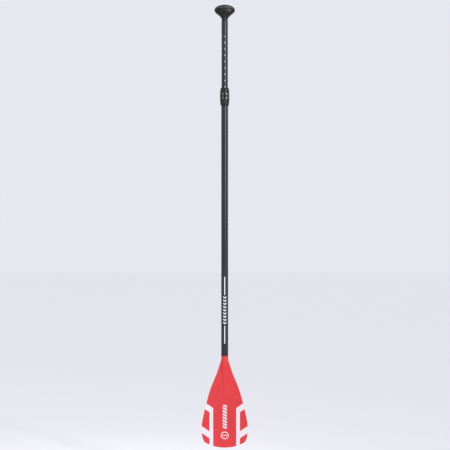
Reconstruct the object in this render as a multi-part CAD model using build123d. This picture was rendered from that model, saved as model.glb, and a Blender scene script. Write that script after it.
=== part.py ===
from build123d import *
import math
import os

# Adjustable single blade paddle for standing on a board: a moulded blade on a lower tube, a main tube
# with a quick-release clamp, and an extension tube with a palm grip that slides and turns in it.
#
# Millimetres. The shaft lies along Z with the grip at the top. The power face of the blade faces -Y.
# The origin is on the shaft's axis, midway along the bare wall of the main tube, where a rack holds it.

os.makedirs("parts", exist_ok=True)

# ---- lengths along the shaft, in the order in which they stack up from the blade's tip ----
BLADE_LENGTH = 379.6
LOWER_TUBE_LENGTH = 365.0
MAIN_TUBE_BARE_LENGTH = 647.0
COLLAR_HEIGHT = 73.0
EXTENSION_SHOWING = 269.0
GRIP_HEIGHT = 68.0

# ---- tubes ----
TUBE_R = 14.0
TUBE_WALL = 1.0
TUBE_BORE_R = TUBE_R - TUBE_WALL
SLIDE_CLEARANCE = 0.07
EXTENSION_R = TUBE_BORE_R - SLIDE_CLEARANCE
EXTENSION_BORE_R = EXTENSION_R - TUBE_WALL
EXTENSION_INSERTED = 410.0
TUBE_EDGE_CHAMFER = 0.3
SEAM_GAP = 0.3
GLUE_GAP = 0.05
OVERCUT = 5.0
FOAM_GAP = 12.0
FOAM_CLEARANCE = 0.3
LOWER_FOAM_LENGTH = 170.0
EXTENSION_FOAM_LENGTH = 120.0
END_PLUG_HEAD = 5.0
END_PLUG_STEM = 22.0

# ---- heights on the Z axis ----
MAIN_TUBE_END_Z = -MAIN_TUBE_BARE_LENGTH / 2
COLLAR_BOTTOM_Z = MAIN_TUBE_BARE_LENGTH / 2
COLLAR_TOP_Z = COLLAR_BOTTOM_Z + COLLAR_HEIGHT
EXTENSION_TOP_Z = COLLAR_TOP_Z + EXTENSION_SHOWING
EXTENSION_END_Z = COLLAR_TOP_Z - EXTENSION_INSERTED
LOWER_TUBE_END_Z = MAIN_TUBE_END_Z - LOWER_TUBE_LENGTH

# ---- quick-release clamp ----
COLLAR_WAIST_R = 19.15
COLLAR_SHOULDER_R = 17.4
COLLAR_RIM_R = 15.0
COLLAR_SHOULDER_DROP = 6.5
COLLAR_RIM_FILLET = 0.8
SOCKET_DEPTH = 22.0
LAND_R = TUBE_R - 0.2
SLOT_WIDTH = 2.0
SLOT_ABOVE_SOCKET = 3.0
LINK_X = 7.5
LINK_Y = -17.0
LINK_Z = COLLAR_BOTTOM_Z + 39.5
WINDOW_HEIGHT = 8.4
KNUCKLE_HEIGHT = 8.5
KNUCKLE_R = 3.9
CAM_R = 3.5
CAM_ECCENTRICITY = 0.4
PIN_R = 2.0
PIVOT_CLEARANCE = 0.05
NUT_R = 2.5
BOLT_R = 1.6
BOLT_EYE_R = 3.3
BOLT_END = 1.0
LINK_GAP = 0.3
POCKET_Y = -14.9
ROOT = 1.0
POCKET_LEFT_X = -12.2
POCKET_RIGHT_X = 13.0
EAR_THICKNESS = 2.0
EAR_FRONT_Y = -20.0
WASHER_THICKNESS = 0.55
LEVER_INNER_R = 15.9
LEVER_OUTER_GAP = 0.1
RECESS_R = 15.6
LEVER_START_DEG = -58.0
LEVER_END_DEG = 92.0
RECESS_MARGIN_DEG = 5.0
THUMB_LIFT_R = 21.4
THUMB_LIFT_DEG = 13.0
COLLAR_SCREW_DEG = (60.0, 120.0)
COLLAR_SCREW_R = 1.4
COLLAR_SCREW_TIP_R = TUBE_BORE_R + 0.1
COLLAR_SCREW_HEAD_R = 2.6
COLLAR_SCREW_HEAD_HEIGHT = 1.4
COLLAR_SCREW_Z = COLLAR_BOTTOM_Z + 11.0

# ---- ferrule and snap button between the lower and main tubes ----
FERRULE_IN_MAIN = 90.0
FERRULE_IN_LOWER = 60.0
FERRULE_BORE_R = 10.4
FERRULE_LEAD_IN = 1.0
PLUG_DEPTH = 12.0
PLUG_FLANGE = 3.0
BUTTON_ABOVE_SEAM = 20.0
BUTTON_R = 3.5
BUTTON_CLEARANCE = 0.1
BUTTON_TOP_Y = TUBE_R + 0.2
BUTTON_FLANGE_R = 4.6
BUTTON_FLANGE_THICKNESS = 1.2
BUTTON_DOME_R = 8.0
LEAF_WIDTH = 7.0
LEAF_THICKNESS = 0.7
LEAF_LENGTH = 42.0
LEAF_FOLD_R = 3.0
LEAF_FOLD_Y = 1.5

# ---- blade ----
BLADE_HALF_WIDTH = 94.2
BLADE_WIDEST_AT = 72.0
TIP_ARC_HALF_CHORD = 73.5
TIP_ARC_RISE = 18.5
CORNER_X = 87.9
CORNER_RISE = 36.0
BLADE_CANT_DEG = 10.0
CANT_BLEND = 110.0
BLADE_CAMBER = 15.0
CAMBER_BLEND = 200.0
PANEL_HALF_SPAN = 105.0
PANEL_EDGE = 2.6
PANEL_CENTRE_TOP = 8.0
PANEL_CENTRE_TIP = 4.6
PANEL_EDGE_FILLET = 0.8
ROOT_STEP = 2.0
SPIGOT_LENGTH = 70.0
SPIGOT_FLOOR = 5.0
SPIGOT_BORE_R = 9.5

# ---- grip ----
GRIP_HALF_WIDTH = 41.3
GRIP_HALF_DEPTH = 19.5
GRIP_CROWN = 21.3
PALM_PAD_SEAM = 9.3
PALM_PAD_THICKNESS = 3.0
GRIP_SPIGOT_LENGTH = 45.0
GRIP_SPIGOT_BORE_R = 8.5

# ---- blind rivets ----
RIVET_R = 1.6
RIVET_HEAD_R = 3.2
RIVET_HEAD_HEIGHT = 1.1
RIVET_HOLE_CLEARANCE = 0.05
RIVET_REACH = 1.0
GRIP_RIVET_DROP = 20.0
BLADE_RIVET_RISE = 28.0

STAND = (Align.CENTER, Align.CENTER, Align.MIN)
ABOUT_AXIS = (Align.NONE, Align.NONE, Align.MIN)


def rod(radius, bottom, top, x=0.0, y=0.0):
    """An upright cylinder between two heights."""
    return Pos(x, y, bottom) * Cylinder(radius, top - bottom, align=STAND)


def pipe(outer, inner, bottom, top):
    """A tube between two heights, with its four rims broken."""
    body = rod(outer, bottom, top) - rod(inner, bottom - OVERCUT, top + OVERCUT)
    return chamfer(body.edges().filter_by(GeomType.CIRCLE), TUBE_EDGE_CHAMFER)


def block(x, y, z):
    """A box given by its limits on each axis."""
    size = [high - low for low, high in (x, y, z)]
    return Pos(x[0], y[0], z[0]) * Box(*size, align=(Align.MIN, Align.MIN, Align.MIN))


def sector(outer, inner, start_deg, end_deg, bottom, top):
    """A piece of ring about the shaft's axis, between two angles."""
    sweep = end_deg - start_deg
    wedge = Cylinder(outer, top - bottom, arc_size=sweep, align=ABOUT_AXIS)
    return Pos(0, 0, bottom) * Rot(0, 0, start_deg) * wedge - rod(inner, bottom - OVERCUT, top + OVERCUT)


def radial_rod(radius, inner, outer, z, angle_deg=90.0):
    """A cylinder that points out from the shaft's axis, from one radius to another."""
    lying = Rot(0, 90, 0) * Cylinder(radius, outer - inner, align=STAND)
    return Pos(0, 0, z) * Rot(0, 0, angle_deg) * Pos(inner, 0, 0) * lying


def rivet_head(surface_r, z, angle_deg=90.0):
    """A low domed rivet head that sits on a tube."""
    ball_r = (RIVET_HEAD_R**2 + RIVET_HEAD_HEIGHT**2) / (2 * RIVET_HEAD_HEIGHT)
    ball = Pos(surface_r + RIVET_HEAD_HEIGHT - ball_r, 0, 0) * Sphere(ball_r)
    seat = block((0, surface_r), (-ball_r, ball_r), (-ball_r, ball_r))
    column = Rot(0, 90, 0) * Cylinder(RIVET_HEAD_R, 4 * TUBE_R)
    return Pos(0, 0, z) * Rot(0, 0, angle_deg) * ((ball & column) - seat)


def blind_rivet(surface_r, depth, z):
    """A rivet at the back of a tube: a domed head outside and a shank that reaches inwards."""
    shank = radial_rod(RIVET_R, surface_r - depth, surface_r + RIVET_HEAD_HEIGHT / 2, z)
    return shank + (rivet_head(surface_r, z) - rod(surface_r, z - OVERCUT, z + OVERCUT))


def rivet_hole(z):
    """The hole that a rivet needs through a tube and its spigot, at the back."""
    return radial_rod(RIVET_R + RIVET_HOLE_CLEARANCE, 0, 2 * TUBE_R, z)


# ---------------------------------------------------------------------------------------------
# Grip and extension tube
# ---------------------------------------------------------------------------------------------

GRIP_RIVET_Z = EXTENSION_TOP_Z - GRIP_RIVET_DROP
GRIP_EQUATOR_Z = EXTENSION_TOP_Z + GRIP_HEIGHT - GRIP_CROWN

# height above the tube, half width, half depth of the neck as it opens out into the palm grip
GRIP_NECK = (
    (0.0, 12.3, 12.3),
    (5.0, 12.05, 12.05),
    (11.0, 13.2, 12.5),
    (18.5, 17.8, 13.8),
    (26.5, 26.6, 15.9),
    (34.5, 36.3, 18.2),
    (40.5, 40.5, 19.2),
    (GRIP_HEIGHT - GRIP_CROWN, GRIP_HALF_WIDTH, GRIP_HALF_DEPTH),
)


def crown(inset):
    """The grip's rounded top as a whole ellipsoid, made smaller by an inset."""
    radii = (GRIP_HALF_WIDTH - inset, GRIP_HALF_DEPTH - inset, GRIP_CROWN - inset)
    return Pos(0, 0, GRIP_EQUATOR_Z) * scale(Sphere(1), by=radii)


def above(z):
    """A block that holds everything of the grip above a height."""
    reach = 2 * GRIP_HALF_WIDTH
    return block((-reach, reach), (-reach, reach), (z, z + reach))


def grip_body():
    """Moulded palm grip: a spigot in the extension tube, a waisted neck and the core of the crown."""
    sections = [Pos(0, 0, EXTENSION_TOP_Z + z) * Ellipse(a, b) for z, a, b in GRIP_NECK]
    seam_z = GRIP_EQUATOR_Z + PALM_PAD_SEAM
    shoulder = (crown(0) & above(GRIP_EQUATOR_Z)) - above(seam_z)
    core = crown(PALM_PAD_THICKNESS + GLUE_GAP) & above(seam_z - PALM_PAD_THICKNESS)
    spigot = rod(EXTENSION_BORE_R - GLUE_GAP, EXTENSION_TOP_Z - GRIP_SPIGOT_LENGTH, EXTENSION_TOP_Z)
    hollow = rod(GRIP_SPIGOT_BORE_R, EXTENSION_TOP_Z - GRIP_SPIGOT_LENGTH - OVERCUT, EXTENSION_TOP_Z)
    return loft(sections) + shoulder + core + spigot - hollow - rivet_hole(GRIP_RIVET_Z)


def grip_palm_pad():
    """Soft cap moulded over the core of the crown, where the palm presses."""
    seam_z = GRIP_EQUATOR_Z + PALM_PAD_SEAM + GLUE_GAP
    return (crown(0) - crown(PALM_PAD_THICKNESS)) & above(seam_z)


def grip_rivet():
    depth = EXTENSION_R - GRIP_SPIGOT_BORE_R + RIVET_REACH
    return blind_rivet(EXTENSION_R, depth, GRIP_RIVET_Z)


def extension_tube():
    wall = pipe(EXTENSION_R, EXTENSION_BORE_R, EXTENSION_END_Z, EXTENSION_TOP_Z)
    return wall - rivet_hole(GRIP_RIVET_Z)


def extension_end_plug():
    """Plug at the hidden end of the extension tube. It guides the tube and keeps water out."""
    head_top = EXTENSION_END_Z - SEAM_GAP
    head = rod(EXTENSION_R, head_top - END_PLUG_HEAD, head_top)
    head = chamfer(head.edges().filter_by(GeomType.CIRCLE), FERRULE_LEAD_IN)
    stem = rod(EXTENSION_BORE_R - SLIDE_CLEARANCE, head_top, EXTENSION_END_Z + END_PLUG_STEM)
    return head + stem


def extension_float_foam():
    """Foam plug above the stem, so that a dropped paddle floats."""
    top = EXTENSION_TOP_Z - GRIP_SPIGOT_LENGTH - FOAM_GAP
    return rod(EXTENSION_BORE_R - FOAM_CLEARANCE, top - EXTENSION_FOAM_LENGTH, top)


# ---------------------------------------------------------------------------------------------
# Clamp
# ---------------------------------------------------------------------------------------------

SOCKET_TOP_Z = COLLAR_BOTTOM_Z + SOCKET_DEPTH
SLOT_BOTTOM_Z = SOCKET_TOP_Z + SLOT_ABOVE_SOCKET
LINK_LOW_Z = LINK_Z - WINDOW_HEIGHT / 2 - KNUCKLE_HEIGHT
LINK_HIGH_Z = LINK_Z + WINDOW_HEIGHT / 2 + KNUCKLE_HEIGHT
EAR_X = (SLOT_WIDTH / 2, SLOT_WIDTH / 2 + EAR_THICKNESS)
KNUCKLE_SPANS = (
    (LINK_LOW_Z, LINK_Z - WINDOW_HEIGHT / 2),
    (LINK_Z + WINDOW_HEIGHT / 2, LINK_HIGH_Z),
)


def barrel(waist_r):
    """The clamp's outer shape: a barrel with drawn-in rims, solid right through."""
    low_rim = (COLLAR_RIM_R, COLLAR_BOTTOM_Z)
    high_rim = (COLLAR_RIM_R, COLLAR_TOP_Z)
    low_shoulder = (COLLAR_SHOULDER_R, COLLAR_BOTTOM_Z + COLLAR_SHOULDER_DROP)
    high_shoulder = (COLLAR_SHOULDER_R, COLLAR_TOP_Z - COLLAR_SHOULDER_DROP)
    middle = (waist_r, (COLLAR_BOTTOM_Z + COLLAR_TOP_Z) / 2)
    side = ThreePointArc(low_shoulder, middle, high_shoulder)
    low_turn = TangentArc(low_shoulder, low_rim, tangent=-(side % 0))
    high_turn = TangentArc(high_shoulder, high_rim, tangent=side % 1)
    ends = Polyline(low_rim, (0, COLLAR_BOTTOM_Z), (0, COLLAR_TOP_Z), high_rim)
    outline = make_face(Plane.XZ * Curve([side, low_turn, high_turn, ends]))
    return revolve(outline, axis=Axis.Z)


def clamp_collar():
    """Moulded split collar. Its socket is bonded to the main tube, and its upper half grips the extension."""
    body = barrel(COLLAR_WAIST_R)
    circles = body.edges().filter_by(GeomType.CIRCLE)
    rims = circles.filter_by(lambda e: abs(e.radius - COLLAR_RIM_R) < GLUE_GAP)
    body = fillet(rims, COLLAR_RIM_FILLET)
    body -= rod(LAND_R + GLUE_GAP, COLLAR_BOTTOM_Z - OVERCUT, SOCKET_TOP_Z)
    body -= rod(TUBE_BORE_R, COLLAR_BOTTOM_Z, COLLAR_TOP_Z + OVERCUT)
    # room for the lever, flush round the right side, and for the linkage at the front
    body -= sector(
        2 * COLLAR_WAIST_R,
        RECESS_R,
        LEVER_START_DEG - RECESS_MARGIN_DEG,
        LEVER_END_DEG + RECESS_MARGIN_DEG,
        LINK_LOW_Z - LINK_GAP,
        LINK_HIGH_Z + LINK_GAP,
    )
    linkage = (LINK_LOW_Z - LINK_GAP, LINK_HIGH_Z + LINK_GAP)
    body -= block((POCKET_LEFT_X, POCKET_RIGHT_X), (-2 * COLLAR_WAIST_R, POCKET_Y), linkage)
    body -= rod(CAM_R + CAM_ECCENTRICITY + LINK_GAP, *linkage, x=LINK_X, y=LINK_Y)
    # left knuckles, which hold the barrel nut, and the right ear that the cam presses on
    for bottom, top in KNUCKLE_SPANS:
        body += rod(KNUCKLE_R, bottom, top, x=-LINK_X, y=LINK_Y)
        web_x = (-LINK_X - KNUCKLE_R, -LINK_X + KNUCKLE_R)
        body += block(web_x, (LINK_Y, POCKET_Y + ROOT), (bottom, top))
    body += block(EAR_X, (EAR_FRONT_Y, POCKET_Y + ROOT), (LINK_LOW_Z, LINK_HIGH_Z))
    body -= rod(NUT_R + PIVOT_CLEARANCE, LINK_LOW_Z, LINK_HIGH_Z + OVERCUT, x=-LINK_X, y=LINK_Y)
    slot_x = (-SLOT_WIDTH / 2, SLOT_WIDTH / 2)
    body -= block(slot_x, (-2 * COLLAR_WAIST_R, 0), (SLOT_BOTTOM_Z, COLLAR_TOP_Z + OVERCUT))
    body -= bolt_shank(BOLT_R + LINK_GAP)
    for angle in COLLAR_SCREW_DEG:
        body -= radial_rod(COLLAR_SCREW_R + GLUE_GAP, 0, 2 * TUBE_R, COLLAR_SCREW_Z, angle)
        body -= radial_rod(
            COLLAR_SCREW_HEAD_R + GLUE_GAP,
            COLLAR_WAIST_R - 2 * COLLAR_SCREW_HEAD_HEIGHT - GLUE_GAP,
            2 * TUBE_R,
            COLLAR_SCREW_Z,
            angle,
        )
    return body


def collar_screws():
    """Two short pan-head screws at the back that fix the collar's socket to the main tube."""
    screws = []
    head_seat = COLLAR_WAIST_R - 2 * COLLAR_SCREW_HEAD_HEIGHT
    for angle in COLLAR_SCREW_DEG:
        shank = radial_rod(COLLAR_SCREW_R, COLLAR_SCREW_TIP_R, head_seat, COLLAR_SCREW_Z, angle)
        head = radial_rod(
            COLLAR_SCREW_HEAD_R,
            head_seat,
            head_seat + COLLAR_SCREW_HEAD_HEIGHT,
            COLLAR_SCREW_Z,
            angle,
        )
        screws.append(shank + head)
    return Compound(children=screws)


def bolt_shank(radius):
    """The clamp bolt's straight part, from its eye on the right to past the barrel nut on the left."""
    start = -LINK_X - NUT_R - BOLT_END
    length = LINK_X - start
    return Pos(start, LINK_Y, LINK_Z) * Rot(0, 90, 0) * Cylinder(radius, length, align=STAND)


def clamp_bolt():
    """Eye bolt that ties the lever's pivot pin to the barrel nut, across the collar's slot."""
    half_eye = WINDOW_HEIGHT / 2 - LINK_GAP
    eye = rod(BOLT_EYE_R, LINK_Z - half_eye, LINK_Z + half_eye, x=LINK_X, y=LINK_Y)
    bore = rod(PIN_R + PIVOT_CLEARANCE, LINK_LOW_Z, LINK_HIGH_Z, x=LINK_X, y=LINK_Y)
    return eye + bolt_shank(BOLT_R) - bore


def clamp_barrel_nut():
    """Upright cylindrical nut in the collar's left knuckles, cross-bored for the bolt."""
    body = rod(NUT_R, LINK_LOW_Z + LINK_GAP, LINK_HIGH_Z - LINK_GAP, x=-LINK_X, y=LINK_Y)
    return body - bolt_shank(BOLT_R + PIVOT_CLEARANCE)


def clamp_cam_washer():
    """Thin wear plate between the lever's cam and the collar's right ear."""
    x = (EAR_X[1], EAR_X[1] + WASHER_THICKNESS)
    plate = block(x, (EAR_FRONT_Y, POCKET_Y - LINK_GAP), (LINK_LOW_Z, LINK_HIGH_Z))
    return plate - bolt_shank(BOLT_R + LINK_GAP)


def clamp_lever_pin():
    """Steel pin that the lever turns on. It passes through both forks and the bolt's eye."""
    pin = rod(PIN_R, LINK_LOW_Z, LINK_HIGH_Z, x=LINK_X, y=LINK_Y)
    return chamfer(pin.edges().filter_by(GeomType.CIRCLE), TUBE_EDGE_CHAMFER)


def clamp_lever():
    """Cam lever: two forked cams on the pin, and an arm that lies flush round the collar's right side."""
    arm = barrel(COLLAR_WAIST_R - LEVER_OUTER_GAP)
    arm &= sector(
        2 * COLLAR_WAIST_R,
        LEVER_INNER_R,
        LEVER_START_DEG,
        LEVER_END_DEG,
        LINK_LOW_Z,
        LINK_HIGH_Z,
    )
    lift_middle = (LINK_LOW_Z + LINK_HIGH_Z) / 2
    lift_half = KNUCKLE_HEIGHT
    arm += sector(
        THUMB_LIFT_R,
        COLLAR_SHOULDER_R,
        LEVER_END_DEG - THUMB_LIFT_DEG,
        LEVER_END_DEG,
        lift_middle - lift_half,
        lift_middle + lift_half,
    )
    for bottom, top in KNUCKLE_SPANS:
        arm += rod(CAM_R, bottom, top, x=LINK_X - CAM_ECCENTRICITY, y=LINK_Y)
    window = (LINK_Z - WINDOW_HEIGHT / 2, LINK_Z + WINDOW_HEIGHT / 2)
    arm -= rod(BOLT_EYE_R + LINK_GAP, *window, x=LINK_X, y=LINK_Y)
    bore = (LINK_LOW_Z - OVERCUT, LINK_HIGH_Z + OVERCUT)
    return arm - rod(PIN_R + PIVOT_CLEARANCE, *bore, x=LINK_X, y=LINK_Y)


# ---------------------------------------------------------------------------------------------
# Main tube, ferrule and snap button
# ---------------------------------------------------------------------------------------------

BUTTON_Z = MAIN_TUBE_END_Z + BUTTON_ABOVE_SEAM
FERRULE_TOP_Z = MAIN_TUBE_END_Z + FERRULE_IN_MAIN
FERRULE_END_Z = MAIN_TUBE_END_Z - FERRULE_IN_LOWER
FERRULE_R = TUBE_BORE_R - SLIDE_CLEARANCE
# the button's flat flange lies just clear of the ferrule's round bore
BUTTON_FLANGE_Y = math.sqrt(FERRULE_BORE_R**2 - BUTTON_FLANGE_R**2) - BUTTON_CLEARANCE


def button_hole():
    return radial_rod(BUTTON_R + BUTTON_CLEARANCE, 0, 2 * TUBE_R, BUTTON_Z)


def main_tube():
    """Aluminium tube with a turned-down land for the collar and the snap button's hole at its lower end."""
    land_end = SOCKET_TOP_Z - SEAM_GAP
    body = pipe(TUBE_R, TUBE_BORE_R, MAIN_TUBE_END_Z, land_end)
    turned = (COLLAR_BOTTOM_Z, land_end + OVERCUT)
    body -= rod(2 * TUBE_R, *turned) - rod(LAND_R, *turned)
    for angle in COLLAR_SCREW_DEG:
        body -= radial_rod(COLLAR_SCREW_R + GLUE_GAP, 0, 2 * TUBE_R, COLLAR_SCREW_Z, angle)
    return body - button_hole()


def ferrule():
    """Stepless sleeve bonded in the lower tube. Its upper half slides into the main tube."""
    body = rod(FERRULE_R, FERRULE_END_Z, FERRULE_TOP_Z)
    body = chamfer(body.edges().group_by(Axis.Z)[-1], FERRULE_LEAD_IN)
    body -= rod(FERRULE_BORE_R, FERRULE_END_Z - OVERCUT, FERRULE_TOP_Z + OVERCUT)
    return body - button_hole()


def ferrule_plug():
    """Plug that closes the ferrule's open end against water."""
    stem = rod(FERRULE_BORE_R - GLUE_GAP, FERRULE_TOP_Z - PLUG_DEPTH, FERRULE_TOP_Z)
    flange = rod(FERRULE_R - FERRULE_LEAD_IN, FERRULE_TOP_Z, FERRULE_TOP_Z + PLUG_FLANGE)
    return stem + chamfer(flange.edges().group_by(Axis.Z)[-1], FERRULE_LEAD_IN)


def snap_button():
    """Push button that locks the two tubes together: a domed stem with a flange inside the ferrule."""
    stem = radial_rod(BUTTON_R, BUTTON_FLANGE_Y - BUTTON_FLANGE_THICKNESS, BUTTON_TOP_Y, BUTTON_Z)
    stem &= Pos(0, BUTTON_TOP_Y - BUTTON_DOME_R, BUTTON_Z) * Sphere(BUTTON_DOME_R)
    flange = radial_rod(
        BUTTON_FLANGE_R,
        BUTTON_FLANGE_Y - BUTTON_FLANGE_THICKNESS,
        BUTTON_FLANGE_Y,
        BUTTON_Z,
    )
    return stem + flange


def snap_button_spring():
    """Folded leaf spring in the ferrule, between the button's flange and the far wall."""
    far_wall = math.sqrt(FERRULE_BORE_R**2 - (LEAF_WIDTH / 2) ** 2)
    front_y = BUTTON_CLEARANCE + LEAF_THICKNESS / 2 - far_wall
    button_y = BUTTON_FLANGE_Y - BUTTON_FLANGE_THICKNESS - GLUE_GAP - LEAF_THICKNESS / 2
    top = BUTTON_Z + BUTTON_FLANGE_R
    fold_z = BUTTON_Z - LEAF_LENGTH
    route = FilletPolyline(
        (0, button_y, top),
        (0, button_y, BUTTON_Z - BUTTON_FLANGE_R),
        (0, LEAF_FOLD_Y, fold_z),
        (0, front_y, fold_z),
        (0, front_y, top),
        radius=LEAF_FOLD_R,
    )
    start = Plane(route @ 0, x_dir=(1, 0, 0), z_dir=route % 0)
    return sweep(start * Rectangle(LEAF_WIDTH, LEAF_THICKNESS), path=route)


# ---------------------------------------------------------------------------------------------
# Lower tube and blade
# ---------------------------------------------------------------------------------------------

BLADE_RIVET_Z = LOWER_TUBE_END_Z + BLADE_RIVET_RISE
BLADE_TIP_Z = LOWER_TUBE_END_Z - BLADE_LENGTH


def lower_tube():
    top = MAIN_TUBE_END_Z - SEAM_GAP
    return pipe(TUBE_R, TUBE_BORE_R, LOWER_TUBE_END_Z, top) - rivet_hole(BLADE_RIVET_Z)


def lower_float_foam():
    """Foam plug between the blade's spigot and the ferrule."""
    bottom = LOWER_TUBE_END_Z + SPIGOT_LENGTH + FOAM_GAP
    return rod(TUBE_BORE_R - FOAM_CLEARANCE, bottom, bottom + LOWER_FOAM_LENGTH)


def blade_rivet():
    return blind_rivet(TUBE_R, TUBE_R - SPIGOT_BORE_R + RIVET_REACH, BLADE_RIVET_Z)


def cant(drop):
    """How far the middle of the blade lies behind the shaft's axis, at a distance below the tube."""
    slope = math.tan(math.radians(BLADE_CANT_DEG))
    if drop < CANT_BLEND:
        return slope * drop**2 / (2 * CANT_BLEND)
    return slope * (drop - CANT_BLEND / 2)


def panel_section(drop):
    """One slice of the blade's panel, wider than the blade: a hollow front face and a full back face."""
    y = cant(drop)
    camber = BLADE_CAMBER * math.sin(math.pi / 2 * min(drop / CAMBER_BLEND, 1.0))
    fade = drop / BLADE_LENGTH
    half_centre = (PANEL_CENTRE_TOP + fade * (PANEL_CENTRE_TIP - PANEL_CENTRE_TOP)) / 2
    half_edge = PANEL_EDGE / 2
    span = PANEL_HALF_SPAN
    front_edge_y = y - camber - half_edge
    back_edge_y = y - camber + half_edge
    front = ThreePointArc((-span, front_edge_y), (0, y - half_centre), (span, front_edge_y))
    back = ThreePointArc((span, back_edge_y), (0, y + half_centre), (-span, back_edge_y))
    slice_outline = Curve([front, Line(front @ 1, back @ 0), back, Line(back @ 1, front @ 0)])
    return Pos(0, 0, LOWER_TUBE_END_Z - drop) * make_face(slice_outline)


# half width and height above the tip, down the blade's right edge
BLADE_EDGE = (
    (TUBE_R, BLADE_LENGTH - 10.0),
    (19.7, 346.5),
    (30.3, 313.5),
    (50.4, 264.5),
    (71.6, 197.5),
    (86.0, 138.0),
    (BLADE_HALF_WIDTH, BLADE_WIDEST_AT),
    (CORNER_X, CORNER_RISE),
    (TIP_ARC_HALF_CHORD, TIP_ARC_RISE),
)


def blade_outline():
    """The blade seen square on: a long flare, rounded lower corners and a shallow arc across the tip."""
    tip = ThreePointArc((-TIP_ARC_HALF_CHORD, TIP_ARC_RISE), (0, 0), (TIP_ARC_HALF_CHORD, TIP_ARC_RISE))
    right = Spline(*BLADE_EDGE, tangents=[(0.0, -1.0), -(tip % 1)])
    left = mirror(right, about=Plane.YZ)
    top = Polyline(right @ 0, (TUBE_R, BLADE_LENGTH), (-TUBE_R, BLADE_LENGTH), left @ 0)
    upright = Plane((0, 0, BLADE_TIP_Z), x_dir=(1, 0, 0), z_dir=(0, -1, 0))
    return upright * make_face(Curve([tip, right, left, top]))


# distance below the tube, half width, half depth and how far behind the panel's middle the spine lies
SPINE = (
    (SEAM_GAP, 14.0, 14.0, 0.0),
    (22.0, 14.0, 13.2, 0.0),
    (60.0, 13.4, 11.0, 0.4),
    (110.0, 12.0, 8.0, 0.9),
    (170.0, 10.0, 5.0, 1.0),
    (235.0, 7.0, 2.2, 0.2),
)


# distances below the tube at which the panel's slices are drawn
PANEL_STATIONS = (0.0, 45.0, 90.0, 140.0, 200.0, 280.0, BLADE_LENGTH + OVERCUT)


def blade():
    """Moulded blade: a spigot in the lower tube, a tapering spine and a hollow-faced panel, in one piece."""
    slab = loft([panel_section(drop) for drop in PANEL_STATIONS])
    panel = slab & extrude(blade_outline(), amount=2 * BLADE_HALF_WIDTH, both=True)
    reach = (-2 * TUBE_R, 2 * TUBE_R)
    panel -= block(reach, reach, (LOWER_TUBE_END_Z - SEAM_GAP, LOWER_TUBE_END_Z + OVERCUT))
    # the long edges of the rim, front and back, but not the short ones where the panel meets the spine
    rim = panel.edges().filter_by(lambda e: e.length > TUBE_R + OVERCUT)
    rim = rim.filter_by(lambda e: e.bounding_box().min.Z < LOWER_TUBE_END_Z - OVERCUT)
    panel = fillet(rim, PANEL_EDGE_FILLET)
    rings = []
    for drop, half_width, half_depth, behind in SPINE:
        middle = Pos(0, cant(drop) + behind, LOWER_TUBE_END_Z - drop)
        rings.append(middle * Ellipse(half_width, half_depth))
    spigot_top_z = LOWER_TUBE_END_Z + SPIGOT_LENGTH
    spigot = rod(TUBE_BORE_R - GLUE_GAP, LOWER_TUBE_END_Z - ROOT_STEP, spigot_top_z)
    hollow = rod(SPIGOT_BORE_R, LOWER_TUBE_END_Z + SPIGOT_FLOOR, spigot_top_z + OVERCUT)
    return panel + loft(rings) + spigot - hollow - rivet_hole(BLADE_RIVET_Z)


SUB_PARTS = (
    grip_body,
    grip_palm_pad,
    grip_rivet,
    extension_tube,
    extension_end_plug,
    extension_float_foam,
    clamp_collar,
    collar_screws,
    clamp_lever,
    clamp_lever_pin,
    clamp_bolt,
    clamp_barrel_nut,
    clamp_cam_washer,
    main_tube,
    ferrule,
    ferrule_plug,
    snap_button,
    snap_button_spring,
    lower_tube,
    lower_float_foam,
    blade,
    blade_rivet,
)

for make in SUB_PARTS:
    export_step(make(), f"parts/{make.__name__}.step")
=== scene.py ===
import math

import bmesh
import bpy
from mathutils import Matrix, Vector


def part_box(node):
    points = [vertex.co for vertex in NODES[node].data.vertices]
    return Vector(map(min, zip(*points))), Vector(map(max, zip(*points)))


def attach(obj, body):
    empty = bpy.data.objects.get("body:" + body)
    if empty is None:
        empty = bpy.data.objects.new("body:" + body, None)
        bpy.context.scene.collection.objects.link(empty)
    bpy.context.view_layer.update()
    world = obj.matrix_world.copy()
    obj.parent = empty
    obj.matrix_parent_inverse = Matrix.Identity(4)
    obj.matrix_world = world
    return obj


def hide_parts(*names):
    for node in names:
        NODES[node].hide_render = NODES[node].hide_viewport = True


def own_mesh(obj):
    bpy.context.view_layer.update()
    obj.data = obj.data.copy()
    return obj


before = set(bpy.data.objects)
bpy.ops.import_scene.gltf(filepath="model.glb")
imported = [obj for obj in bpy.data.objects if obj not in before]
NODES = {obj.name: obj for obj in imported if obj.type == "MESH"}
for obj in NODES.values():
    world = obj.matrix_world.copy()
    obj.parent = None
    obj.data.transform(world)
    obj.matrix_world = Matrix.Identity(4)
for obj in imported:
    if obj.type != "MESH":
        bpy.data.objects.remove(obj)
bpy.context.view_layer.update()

# Adjustable single blade paddle. Metres, in the CAD frame: the shaft lies along Z, and the blade's power
# face looks along -Y. Places come from the CAD nodes' boxes, so the tubes and print stay with the model.

MM = 0.001
INCH = 25.4 * MM

TUBE_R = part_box("main_tube")[1].x
EXTENSION_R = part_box("extension_tube")[1].x
BLADE_TIP_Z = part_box("blade")[0].z
COLLAR_TOP_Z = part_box("clamp_collar")[1].z
EXTENSION_TOP_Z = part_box("extension_tube")[1].z
EXTENSION_LOW_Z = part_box("extension_tube")[0].z
LINK_Z = (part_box("clamp_lever_pin")[0].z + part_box("clamp_lever_pin")[1].z) / 2

# camera: its distance, the height of the frame at the shaft, and its place over the blade's tip
SENSOR_MM = 36.0
CAMERA_DISTANCE = 6.5
FRAMED_HEIGHT = 1.8225
CAMERA_X = 0.0012
CAMERA_RISE = 0.9095

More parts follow.
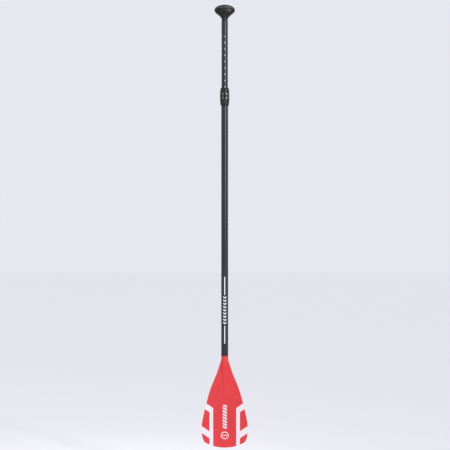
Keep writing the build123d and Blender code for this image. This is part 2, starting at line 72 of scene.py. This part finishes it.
# the floor is low enough for the blade section to be drawn off downwards above it
FLOOR_DROP = 0.165
FLOOR_HALF = 30.0

# the clamp's knuckles, which carry a painted highlight at the front
KNUCKLE_LOW = 4.6 * MM
KNUCKLE_HIGH = 12.0 * MM
KNUCKLE_FRONT_Y = -18.2 * MM
KNUCKLE_EDGE = 0.25 * MM

# print on the blade, from its centre line and from its tip
PRINT_EDGE = 0.35 * MM
BAND_SLOPE = 0.715
BAND_INNER = 46.9 * MM
BAND_OUTER = 62.0 * MM
BAND_TOP = 132.0 * MM
TOP_ARM_WIDTH = 27.6 * MM
FOOT_ARM_LOW = -4.7 * MM
FOOT_ARM_HIGH = 24.4 * MM
BARS_X = 0.5 * MM
BARS_LOW = 80.0 * MM
BARS_HIGH = 178.0 * MM
BARS_HALF_WIDTH = 8.5 * MM
BAR_PITCH = 13.0 * MM
BAR_HALF_GAP = 0.17 * BAR_PITCH
BAR_SLANT = 0.55
RING_HEIGHT = 51.0 * MM
RING_RADIUS = 15.8 * MM
RING_INK = 1.7 * MM
WAVE_LENGTH = 13.0 * MM
WAVE_RISE = 2.6 * MM
WAVE_REACH = 9.2 * MM

# print on the lower tube, from the blade's tip
FILM = 0.04 * MM
FILM_STEP = 1.0 * MM
DASH_WIDTH = 3.8 * MM
LOW_DASH = (430.0 * MM, 501.3 * MM)
HIGH_DASH = (626.8 * MM, 699.7 * MM)
CHEVRON_COUNT = 9
FIRST_CHEVRON = 508.1 * MM
LAST_CHEVRON = 611.6 * MM
CHEVRON_WIDTH = 13.0 * MM
CHEVRON_RISE = 5.0 * MM
CHEVRON_WEIGHT = 5.5 * MM

# scale on the extension tube: a thinner film, since it slides into the main tube
SCALE_FILM = 0.012 * MM
SCALE_FILM_STEP = 0.4 * MM
SCALE_ABOVE_COLLAR = 4.0 * MM
NUMBER_HEIGHT = 4.4 * MM
READING_AT_COLLAR = 70
SHORTEST_READING = 62
INCHES_BARE_AT_TOP = 2
INCHES_BARE_AT_END = 3
CAP_HEIGHT_SHARE = 0.7
MERGE_DISTANCE = 0.001 * MM

# snap button's leaf spring
LEAF_LOW, LEAF_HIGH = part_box("snap_button_spring")
BUTTON_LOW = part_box("snap_button")[0]
LEAF_THICKNESS = 0.7 * MM
LEAF_FOLD_R = 3.0 * MM
LEAF_FOLD_Y = 1.5 * MM
LEAF_FOLD_STEPS = 8

# palm grip's crown, and the bead round it
CROWN_HALF_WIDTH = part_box("grip_body")[1].x
CROWN_HALF_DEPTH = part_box("grip_body")[1].y
CROWN_HEIGHT = 21.3 * MM
CROWN_EQUATOR_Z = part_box("grip_palm_pad")[1].z - CROWN_HEIGHT
BEAD_R = 1.3 * MM
BEAD_WIDE = 1.9
BEAD_TALL = 0.7
BEAD_REACH = 0.965
BEAD_RISE = 0.50
BEAD_AROUND = 120
BEAD_SECTION = 12


def new_object(name, mesh, shader):
    """Puts a mesh in the scene with one material."""
    mesh.materials.append(shader.material)
    made = bpy.data.objects.new(name, mesh)
    bpy.context.scene.collection.objects.link(made)
    return made


# ---------------------------------------------------------------------------------------------
# Camera, floor and light
# ---------------------------------------------------------------------------------------------

def make_camera():
    """A long lens at mid height, square on to the power face."""
    data = bpy.data.cameras.new("camera")
    data.sensor_width = SENSOR_MM
    data.lens = SENSOR_MM * CAMERA_DISTANCE / FRAMED_HEIGHT
    data.clip_start = 0.1
    data.clip_end = 100.0
    camera = bpy.data.objects.new("camera", data)
    bpy.context.scene.collection.objects.link(camera)
    camera.location = (CAMERA_X, -CAMERA_DISTANCE, BLADE_TIP_Z + CAMERA_RISE)
    camera.rotation_euler = (math.radians(90), 0, 0)
    bpy.context.scene.camera = camera


def make_floor():
    """A wide, plain, pale floor."""
    half = FLOOR_HALF
    z = BLADE_TIP_Z - FLOOR_DROP
    corners = [(-half, -half, z), (half, -half, z), (half, half, z), (-half, half, z)]
    mesh = bpy.data.meshes.new("floor")
    mesh.from_pydata(corners, [], [(0, 1, 2, 3)])
    paint = Shader("floor_paint")
    grain = paint.noise(scale=3.0, detail=3.0)
    paint.colour_mix(grain, (0.95, 0.95, 0.955), (0.97, 0.97, 0.975))
    paint.value("Roughness", 0.9)
    paint.bump(paint.noise(scale=260.0, detail=2.0), strength=0.05, distance=0.0005)
    floor = new_object("floor", mesh, paint)


def area_light(name, place, target, size, power, colour, spread):
    """A soft rectangular light aimed at a point."""
    data = bpy.data.lights.new(name, "AREA")
    data.shape = "RECTANGLE"
    data.size, data.size_y = size
    data.energy = power
    data.color = colour
    data.spread = math.radians(spread)
    light = bpy.data.objects.new(name, data)
    bpy.context.scene.collection.objects.link(light)
    light.location = place
    light.rotation_euler = (Vector(target) - Vector(place)).to_track_quat("-Z", "Y").to_euler()


def make_light():
    """Plain studio light: a tall key to the right, a small light over the grip, and a pale surround."""
    scene = bpy.context.scene
    scene.view_settings.view_transform = "Standard"
    world = bpy.data.worlds.new("studio")
    world.use_nodes = True
    background = world.node_tree.nodes["Background"]
    background.inputs["Color"].default_value = (0.86, 0.86, 0.93, 1)
    background.inputs["Strength"].default_value = 0.93
    scene.world = world
    area_light(
        "key",
        place=(2.4, -4.5, 1.05),
        target=(0, 0, 0.35),
        size=(0.34, 1.9),
        power=16,
        colour=(1.0, 0.98, 0.97),
        spread=60,
    )
    area_light(
        "top",
        place=(0.47, -0.62, 2.55),
        target=(0, 0, 0.72),
        size=(0.6, 0.22),
        power=1.1,
        colour=(1.0, 1.0, 1.0),
        spread=35,
    )


# ---------------------------------------------------------------------------------------------
# Materials
# ---------------------------------------------------------------------------------------------

class Field:
    """A number that varies over a surface. Arithmetic on it makes the shader's Math nodes."""

    def __init__(self, shader, socket):
        self.shader = shader
        self.socket = socket

    def math(self, operation, *others):
        node = self.shader.nodes.new("ShaderNodeMath")
        node.operation = operation
        for slot, value in zip(node.inputs, (self, *others)):
            if isinstance(value, Field):
                self.shader.links.new(value.socket, slot)
            else:
                slot.default_value = value
        return Field(self.shader, node.outputs[0])

    def __add__(self, other):
        return self.math("ADD", other)

    def __sub__(self, other):
        return self.math("SUBTRACT", other)

    def __mul__(self, other):
        return self.math("MULTIPLY", other)

    def __abs__(self):
        return self.math("ABSOLUTE")

    def most(self, other):
        return self.math("MAXIMUM", other)

    def least(self, other):
        return self.math("MINIMUM", other)

    def ramp(self, low, high, out_low=0.0, out_high=1.0):
        """Goes smoothly from out_low at low to out_high at high."""
        node = self.shader.nodes.new("ShaderNodeMapRange")
        node.interpolation_type = "SMOOTHSTEP"
        self.shader.links.new(self.socket, node.inputs["Value"])
        limits = {"From Min": low, "From Max": high, "To Min": out_low, "To Max": out_high}
        for key, value in limits.items():
            node.inputs[key].default_value = value
        return Field(self.shader, node.outputs["Result"])

    def above(self, value, edge):
        """1 above a value and 0 below it, with a soft edge of a given width."""
        return self.ramp(value - edge, value + edge)

    def below(self, value, edge):
        """0 above a value and 1 below it, with a soft edge of a given width."""
        return self.ramp(value - edge, value + edge, 1.0, 0.0)

    def between(self, low, high, edge):
        """1 between two values and 0 outside them."""
        return self.above(low, edge).least(self.below(high, edge))


class Shader:
    """One procedural material, built on the Principled shader in the object's own coordinates."""

    def __init__(self, name):
        self.material = bpy.data.materials.new(name)
        self.material.use_nodes = True
        self.nodes = self.material.node_tree.nodes
        self.links = self.material.node_tree.links
        self.surface = self.nodes["Principled BSDF"]
        self.place = self.nodes.new("ShaderNodeTexCoord")
        self.last_bump = None
        self.base = None

    def axes(self, output="Object"):
        """The surface point's x, y and z in the row frame, in metres, or its normal's x, y and z."""
        split = self.nodes.new("ShaderNodeSeparateXYZ")
        self.links.new(self.place.outputs[output], split.inputs[0])
        return [Field(self, socket) for socket in split.outputs]

    def texture(self, kind, scale, stretch=(1, 1, 1)):
        """A texture node laid out in the object's own coordinates."""
        mapping = self.nodes.new("ShaderNodeMapping")
        self.links.new(self.place.outputs["Object"], mapping.inputs["Vector"])
        mapping.inputs["Scale"].default_value = stretch
        node = self.nodes.new(kind)
        self.links.new(mapping.outputs["Vector"], node.inputs["Vector"])
        node.inputs["Scale"].default_value = scale
        return node

    def noise(self, scale, detail, stretch=(1, 1, 1)):
        node = self.texture("ShaderNodeTexNoise", scale, stretch)
        node.inputs["Detail"].default_value = detail
        return Field(self, node.outputs["Fac"])

    def cells(self, scale):
        return Field(self, self.texture("ShaderNodeTexVoronoi", scale).outputs["Distance"])

    def mixed(self, factor, first, second):
        """A colour socket that goes from first to second. Either may be a socket itself."""
        node = self.nodes.new("ShaderNodeMix")
        node.data_type = "RGBA"
        self.links.new(factor.socket, node.inputs["Factor"])
        for key, colour in (("A", first), ("B", second)):
            slot = [i for i in node.inputs if i.name == key and i.type == "RGBA"][0]
            if isinstance(colour, tuple):
                slot.default_value = (*colour, 1)
            else:
                self.links.new(colour, slot)
        return [o for o in node.outputs if o.type == "RGBA"][0]

    def colour_mix(self, factor, first, second):
        """Sets the base colour, and keeps its socket so that another mix can be laid over it."""
        self.base = self.mixed(factor, first, second)
        self.links.new(self.base, self.surface.inputs["Base Color"])

    def value(self, name, number):
        """The same value all over, set on the shader's own socket."""
        self.surface.inputs[name].default_value = number

    def vary(self, name, field):
        self.links.new(field.socket, self.surface.inputs[name])

    def bump(self, height, strength, distance):
        node = self.nodes.new("ShaderNodeBump")
        node.inputs["Strength"].default_value = strength
        node.inputs["Distance"].default_value = distance
        self.links.new(height.socket, node.inputs["Height"])
        if self.last_bump:
            self.links.new(self.last_bump, node.inputs["Normal"])
        self.last_bump = node.outputs["Normal"]
        self.links.new(self.last_bump, self.surface.inputs["Normal"])


def dress(node, shader):
    """Gives a CAD node its material."""
    mesh = NODES[node].data
    mesh.materials.clear()
    mesh.materials.append(shader.material)


def coated_tube(name, dark, light, rough):
    """Satin black coat on a drawn aluminium tube, with faint lengthways draw lines and rubbed patches."""
    shader = Shader(name)
    cloud = shader.noise(scale=14.0, detail=4.0, stretch=(1, 1, 0.25))
    shader.colour_mix(cloud.ramp(0.3, 0.7), dark, light)
    shader.vary("Roughness", cloud.ramp(0.25, 0.75, rough - 0.05, rough + 0.05))
    lines = shader.noise(scale=700.0, detail=2.0, stretch=(1, 1, 0.01))
    shader.bump(lines, strength=0.06, distance=0.00005)
    grain = shader.noise(scale=900.0, detail=1.0)
    shader.bump(grain, strength=0.12, distance=0.00004)
    shader.value("Specular IOR Level", 0.31)
    return shader


def moulded_plastic(name, dark, light, rough, grain_size, grain_depth, specular=0.26):
    """Textured moulded plastic: fine spark-eroded grain and a slightly uneven sheen."""
    shader = Shader(name)
    cloud = shader.noise(scale=55.0, detail=3.0)
    shader.colour_mix(cloud.ramp(0.3, 0.7), dark, light)
    shader.vary("Roughness", cloud.ramp(0.3, 0.7, rough - 0.06, rough + 0.06))
    grain = shader.noise(scale=1.0 / grain_size, detail=2.0)
    shader.bump(grain, strength=0.35, distance=grain_depth)
    shader.value("Specular IOR Level", specular)
    return shader


def clamp_plastic(name, dark, light, rough, highlight_colour, reach):
    """The clamp's moulded plastic, with a painted highlight: its knuckles at the front are painted a lighter
    grey.
    """
    shader = moulded_plastic(name, dark, light, rough, grain_size=0.0007, grain_depth=0.00008)
    x, y, z = shader.axes()
    # painted highlight: a lighter grey on the front faces of the knuckles, where the key light glints
    painted_highlight = abs(z - LINK_Z).between(KNUCKLE_LOW, KNUCKLE_HIGH, KNUCKLE_EDGE)
    painted_highlight = painted_highlight.least(x.between(*reach, KNUCKLE_EDGE))
    painted_highlight = painted_highlight.least(y.below(KNUCKLE_FRONT_Y, KNUCKLE_EDGE))
    # noise breaks the painted highlight into patches
    highlight_mottle = shader.noise(scale=500.0, detail=4.0).ramp(0.35, 0.6, 0.6, 1.0)
    shader.colour_mix(painted_highlight * highlight_mottle, shader.base, highlight_colour)
    return shader


def steel(name):
    """Turned stainless steel, with fine rings and a little wear."""
    shader = Shader(name)
    wear = shader.noise(scale=300.0, detail=4.0)
    shader.colour_mix(wear.ramp(0.35, 0.7), (0.58, 0.58, 0.60), (0.44, 0.44, 0.46))
    shader.vary("Roughness", wear.ramp(0.3, 0.7, 0.22, 0.38))
    shader.value("Metallic", 1.0)
    rings = shader.noise(scale=1200.0, detail=2.0, stretch=(0.2, 0.2, 1))
    shader.bump(rings, strength=0.15, distance=0.00005)
    return shader


def foam(name):
    """Closed-cell foam: pale, matte and full of small cells."""
    shader = Shader(name)
    cells = shader.cells(scale=700.0)
    shader.colour_mix(cells.ramp(0.1, 0.6), (0.62, 0.62, 0.60), (0.80, 0.80, 0.77))
    shader.value("Roughness", 0.95)
    shader.bump(cells, strength=0.6, distance=0.0004)
    return shader


def band_print(x, height):
    """On each side, a straight band with an arm up and out at its top and another at its foot."""
    side = abs(x)
    slant = height - side * BAND_SLOPE
    outside = side.above(BAND_INNER, PRINT_EDGE)
    band = side.between(BAND_INNER, BAND_OUTER, PRINT_EDGE).least(slant.below(BAND_TOP, PRINT_EDGE))
    top_arm = slant.between(BAND_TOP - TOP_ARM_WIDTH, BAND_TOP, PRINT_EDGE).least(outside)
    foot_arm = slant.between(FOOT_ARM_LOW, FOOT_ARM_HIGH, PRINT_EDGE).least(outside)
    return band.most(top_arm).most(foot_arm)


def slanted_bars(x, height):
    """A column of plain slanted bars."""
    column = abs(x - BARS_X).below(BARS_HALF_WIDTH, PRINT_EDGE)
    column = column.least(height.between(BARS_LOW, BARS_HIGH, PRINT_EDGE))
    phase = (height + x * BAR_SLANT).math("PINGPONG", BAR_PITCH / 2)
    return column.least(phase.above(BAR_HALF_GAP, PRINT_EDGE))


def ring_mark(x, height):
    """A plain ring round a level wave."""
    rise = height - RING_HEIGHT
    radius = (x * x + rise * rise).math("SQRT")
    ring = radius.between(RING_RADIUS - 2 * RING_INK, RING_RADIUS, PRINT_EDGE)
    ripple = (x * (2 * math.pi / WAVE_LENGTH)).math("SINE") * WAVE_RISE
    wave = abs(rise - ripple).below(RING_INK, PRINT_EDGE)
    return ring.most(wave.least(radius.below(WAVE_REACH, PRINT_EDGE)))


def blade_plastic():
    """Red moulded blade with printed white bands on both faces, and plain marks down the power face."""
    shader = Shader("blade_red")
    x, y, z = shader.axes()
    height = z - BLADE_TIP_Z
    marks = slanted_bars(x, height).most(ring_mark(x, height))
    power_face = shader.axes("Normal")[1].ramp(-0.5, -0.3, 1.0, 0.0)
    ink = band_print(x, height).most(marks.least(power_face))

    cloud = shader.noise(scale=18.0, detail=5.0)
    speck = shader.noise(scale=900.0, detail=2.0)
    red = shader.mixed(cloud.ramp(0.3, 0.7), (0.675, 0.029, 0.034), (0.725, 0.035, 0.041))
    red = shader.mixed(speck.ramp(0.62, 0.75, 0.0, 0.35), red, (0.51, 0.025, 0.030))
    white = shader.mixed(cloud.ramp(0.3, 0.7), (0.80, 0.73, 0.77), (0.86, 0.78, 0.82))
    shader.colour_mix(ink, red, white)
    shader.vary("Roughness", cloud.ramp(0.3, 0.7, 0.44, 0.54) - ink * 0.06)
    shader.bump(shader.noise(scale=420.0, detail=3.0), strength=0.12, distance=0.0002)
    shader.bump(ink, strength=0.4, distance=0.00005)
    return shader


def print_ink(name):
    """Screen-printed white ink, slightly worn."""
    shader = Shader(name)
    wear = shader.noise(scale=900.0, detail=3.0)
    shader.colour_mix(wear.ramp(0.55, 0.75), (0.82, 0.82, 0.84), (0.60, 0.60, 0.62))
    shader.vary("Roughness", wear.ramp(0.3, 0.7, 0.45, 0.6))
    return shader


# ---------------------------------------------------------------------------------------------
# Print on the tubes, as thin films that lie on the curved wall
# ---------------------------------------------------------------------------------------------

def cut_lengthways(work, step):
    """Cuts a flat film into strips along the tube, so that it bends with the wall and no face dips in."""
    reach = max(abs(v.co.x) for v in work.verts)
    cuts = int(reach / step)
    for k in range(-cuts, cuts + 1):
        everything = work.verts[:] + work.edges[:] + work.faces[:]
        bmesh.ops.bisect_plane(work, geom=everything, plane_co=(k * step, 0, 0), plane_no=(1, 0, 0))


def wrapped_mesh(name, work, radius):
    """Bends a flat film round a tube's front: x goes round, y along, and z is the height off the wall."""
    mesh = bpy.data.meshes.new(name)
    work.to_mesh(mesh)
    work.free()
    for vertex in mesh.vertices:
        u, v, w = vertex.co
        angle = u / radius
        r = radius + w
        vertex.co = (r * math.sin(angle), -r * math.cos(angle), v)
    return mesh


def rectangle(v_low, v_high, width):
    half = width / 2
    return [(-half, v_low), (half, v_low), (half, v_high), (-half, v_high)]


def chevron(v, width, rise, weight):
    """A plain V that points down the shaft."""
    half = width / 2
    return [
        (0, v),
        (half, v + rise),
        (half, v + rise + weight),
        (0, v + weight),
        (-half, v + rise + weight),
        (-half, v + rise),
    ]


def lower_tube_print(ink):
    """Two long dashes with a row of plain chevrons between them, down the front of the lower tube."""
    dashes = (LOW_DASH, HIGH_DASH)
    shapes = [rectangle(BLADE_TIP_Z + low, BLADE_TIP_Z + high, DASH_WIDTH) for low, high in dashes]
    pitch = (LAST_CHEVRON - FIRST_CHEVRON) / (CHEVRON_COUNT - 1)
    for k in range(CHEVRON_COUNT):
        point = BLADE_TIP_Z + FIRST_CHEVRON + k * pitch
        shapes.append(chevron(point, CHEVRON_WIDTH, CHEVRON_RISE, CHEVRON_WEIGHT))
    work = bmesh.new()
    for outline in shapes:
        work.faces.new([work.verts.new((u, v, 0.0)) for u, v in outline])
    cut_lengthways(work, FILM_STEP)
    top = bmesh.ops.extrude_face_region(work, geom=work.faces[:])
    for item in top["geom"]:
        if isinstance(item, bmesh.types.BMVert):
            item.co.z += FILM
    bmesh.ops.recalc_face_normals(work, faces=work.faces[:])
    piece = new_object("lower_tube_print", wrapped_mesh("lower_tube_print", work, TUBE_R), ink)
    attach(piece, "blade_section")


def number_mesh(text):
    """The flat mesh of a number, centred, made from the built-in font."""
    curve = bpy.data.curves.new("number", "FONT")
    curve.body = text
    curve.align_x = "CENTER"
    curve.align_y = "CENTER"
    curve.size = NUMBER_HEIGHT / CAP_HEIGHT_SHARE
    curve.extrude = SCALE_FILM / 2
    curve.resolution_u = 4
    source = bpy.data.objects.new("number", curve)
    bpy.context.scene.collection.objects.link(source)
    mesh = bpy.data.meshes.new_from_object(source.evaluated_get(bpy.context.evaluated_depsgraph_get()))
    bpy.data.objects.remove(source)
    bpy.data.curves.remove(curve)
    return mesh


def extension_scale(ink):
    """Length scale down the front of the extension tube: a number in inches at each inch."""
    first_z = COLLAR_TOP_Z + SCALE_ABOVE_COLLAR
    top = int((EXTENSION_TOP_Z - first_z - INCHES_BARE_AT_TOP * INCH) / INCH)
    bottom = int((first_z - EXTENSION_LOW_Z) / INCH) - INCHES_BARE_AT_END
    sideways = Matrix.Rotation(-math.pi / 2, 4, "Z")
    work = bmesh.new()
    for k in range(-bottom, top + 1):
        reading = READING_AT_COLLAR - k
        if reading < SHORTEST_READING:
            continue
        mesh = number_mesh(str(reading))
        mesh.transform(Matrix.Translation((0, first_z + k * INCH, SCALE_FILM / 2)) @ sideways)
        work.from_mesh(mesh)
        bpy.data.meshes.remove(mesh)
    bmesh.ops.remove_doubles(work, verts=work.verts[:], dist=MERGE_DISTANCE)
    cut_lengthways(work, SCALE_FILM_STEP)
    mesh = wrapped_mesh("extension_scale_print", work, EXTENSION_R)
    piece = new_object("extension_scale_print", mesh, ink)
    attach(piece, "extension")


# ---------------------------------------------------------------------------------------------
# Snap button's leaf spring
# ---------------------------------------------------------------------------------------------

def rounded(corners, radius, steps):
    """A flat path through corners, with each inner corner turned by a small arc."""
    path = [corners[0]]
    for before, corner, after in zip(corners, corners[1:], corners[2:]):
        back = (before - corner).normalized()
        ahead = (after - corner).normalized()
        half = back.angle(ahead) / 2
        inwards = (back + ahead).normalized()
        centre = corner + inwards * radius / math.sin(half)
        first = corner + back * radius / math.tan(half) - centre
        last = corner + ahead * radius / math.tan(half) - centre
        for k in range(steps + 1):
            path.append(centre + first.lerp(last, k / steps).normalized() * radius)
    path.append(corners[-1])
    return path


def leaf_spring(metal):
    """Folded strip of spring steel. Its outer leg runs down along the button to the button's foot."""
    half = LEAF_THICKNESS / 2
    button_y = LEAF_HIGH.y - half
    wall_y = LEAF_LOW.y + half
    fold_z = LEAF_LOW.z + half
    corners = [
        Vector((0, button_y, LEAF_HIGH.z)),
        Vector((0, button_y, BUTTON_LOW.z)),
        Vector((0, LEAF_FOLD_Y, fold_z)),
        Vector((0, wall_y, fold_z)),
        Vector((0, wall_y, LEAF_HIGH.z)),
    ]
    path = rounded(corners, LEAF_FOLD_R, LEAF_FOLD_STEPS)
    vertices, faces = [], []
    for k, point in enumerate(path):
        along = (path[min(k + 1, len(path) - 1)] - path[max(k - 1, 0)]).normalized()
        out = along.cross(Vector((1, 0, 0))).normalized()
        section = ((LEAF_LOW.x, -half), (LEAF_HIGH.x, -half), (LEAF_HIGH.x, half), (LEAF_LOW.x, half))
        for x, side in section:
            vertices.append(Vector((x, 0, 0)) + point + out * side)
        if k:
            here = 4 * k
            for j in range(4):
                turn = (j + 1) % 4
                faces.append((here - 4 + j, here - 4 + turn, here + turn, here + j))
    last = len(vertices) - 4
    faces.append((3, 2, 1, 0))
    faces.append((last, last + 1, last + 2, last + 3))
    mesh = bpy.data.meshes.new("leaf_spring")
    mesh.from_pydata(vertices, [], faces)
    piece = new_object("leaf_spring", mesh, metal)
    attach(piece, "blade_section")
    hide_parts("snap_button_spring")
    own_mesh(piece)


# ---------------------------------------------------------------------------------------------
# Palm grip's bead
# ---------------------------------------------------------------------------------------------

def grip_bead(rubber):
    """Rounded bead where the soft pad meets the grip: a closed arched loop, half sunk in the crown."""
    path = []
    for k in range(BEAD_AROUND):
        angle = 2 * math.pi * k / BEAD_AROUND
        # the loop is high at the front and the back and falls towards both ends
        x = CROWN_HALF_WIDTH * BEAD_REACH * math.cos(angle)
        lift = math.sqrt(1 - (x / CROWN_HALF_WIDTH) ** 2)
        rise = BEAD_RISE * lift
        face = 1 if math.sin(angle) >= 0 else -1
        y = face * CROWN_HALF_DEPTH * math.sqrt(lift**2 - rise**2)
        path.append(Vector((x, y, CROWN_EQUATOR_Z + CROWN_HEIGHT * rise)))
    centre = Vector((0, 0, CROWN_EQUATOR_Z))
    radii = (CROWN_HALF_WIDTH, CROWN_HALF_DEPTH, CROWN_HEIGHT)
    vertices, faces = [], []
    for k, point in enumerate(path):
        along = (path[(k + 1) % BEAD_AROUND] - path[k - 1]).normalized()
        offset = point - centre
        out = Vector([offset[i] / radii[i] ** 2 for i in range(3)]).normalized()
        across = along.cross(out).normalized()
        here, there = k * BEAD_SECTION, (k + 1) % BEAD_AROUND * BEAD_SECTION
        for j in range(BEAD_SECTION):
            turn = 2 * math.pi * j / BEAD_SECTION
            wide, tall = BEAD_WIDE * math.cos(turn), BEAD_TALL * math.sin(turn)
            vertices.append(point + BEAD_R * (wide * across + tall * out))
            beside = (j + 1) % BEAD_SECTION
            faces.append((here + j, here + beside, there + beside, there + j))
    mesh = bpy.data.meshes.new("grip_bead")
    mesh.from_pydata(vertices, [], faces)
    mesh.shade_smooth()
    piece = new_object("grip_bead", mesh, rubber)
    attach(piece, "extension")


# ---------------------------------------------------------------------------------------------
# Build the scene
# ---------------------------------------------------------------------------------------------

# name: darker colour, lighter colour, roughness
COATED_TUBES = {
    "main_tube": ((0.017, 0.017, 0.020), (0.023, 0.022, 0.026), 0.27),
    "extension_tube": ((0.018, 0.018, 0.021), (0.024, 0.023, 0.027), 0.26),
    "lower_tube": ((0.020, 0.019, 0.023), (0.026, 0.025, 0.030), 0.48),
}
BLACK_METAL = ((0.02, 0.02, 0.022), (0.04, 0.04, 0.044), 0.35)
BLACK_METAL_PARTS = (
    "grip_rivet",
    "blade_rivet",
    "collar_screws",
    "clamp_bolt",
    "clamp_barrel_nut",
    "clamp_lever_pin",
)
# name: darker colour, lighter colour, roughness, size and depth of the grain, and specular level if unusual
MOULDED_PARTS = {
    "grip_body": ((0.008, 0.008, 0.010), (0.013, 0.013, 0.015), 0.38, 0.0009, 0.0001),
    "grip_palm_pad": ((0.008, 0.008, 0.010), (0.012, 0.012, 0.014), 0.48, 0.0007, 0.0001, 0.12),
    "clamp_cam_washer": ((0.05, 0.05, 0.055), (0.07, 0.07, 0.075), 0.40, 0.0005, 0.00003),
    "ferrule": ((0.045, 0.045, 0.05), (0.06, 0.06, 0.065), 0.50, 0.0008, 0.00006),
    "ferrule_plug": ((0.05, 0.05, 0.055), (0.07, 0.07, 0.075), 0.55, 0.0008, 0.00006),
    "extension_end_plug": ((0.05, 0.05, 0.055), (0.07, 0.07, 0.075), 0.55, 0.0008, 0.00006),
}
# the bead is real; its grey, lighter than the pad's, is a painted highlight for the arc of light along the
# crown
BEAD_SHEEN_LOOK = ((0.040, 0.040, 0.044), (0.052, 0.052, 0.056), 0.24, 0.0007, 0.00005)
# darker colour, lighter colour, roughness, colour of the painted highlight on the knuckles, and where they
# start and end across
COLLAR_LOOK = ((0.012, 0.012, 0.014), (0.017, 0.017, 0.020), 0.40, (0.15, 0.15, 0.16), (-9.6 * MM, -4.4 * MM))
# the lever's knuckles, on the side of the key light, get the brighter painted highlight
LEVER_LOOK = ((0.013, 0.013, 0.016), (0.018, 0.018, 0.021), 0.34, (0.34, 0.34, 0.355), (3.4 * MM, 11.6 * MM))

make_camera()
make_light()
make_floor()

for name, look in COATED_TUBES.items():
    dress(name, coated_tube(name + "_coat", *look))
for name in BLACK_METAL_PARTS:
    dress(name, coated_tube(name + "_coat", *BLACK_METAL))
for name, look in MOULDED_PARTS.items():
    dress(name, moulded_plastic(name + "_moulding", *look))
dress("clamp_collar", clamp_plastic("clamp_collar_moulding", *COLLAR_LOOK))
dress("clamp_lever", clamp_plastic("clamp_lever_moulding", *LEVER_LOOK))
for name in ("snap_button", "snap_button_spring"):
    dress(name, steel(name + "_steel"))
for name in ("extension_float_foam", "lower_float_foam"):
    dress(name, foam(name + "_cells"))
dress("blade", blade_plastic())

white_ink = print_ink("white_ink")
lower_tube_print(white_ink)
leaf_spring(steel("leaf_spring_steel"))
grip_bead(moulded_plastic("grip_bead_rubber", *BEAD_SHEEN_LOOK))
extension_scale(white_ink)
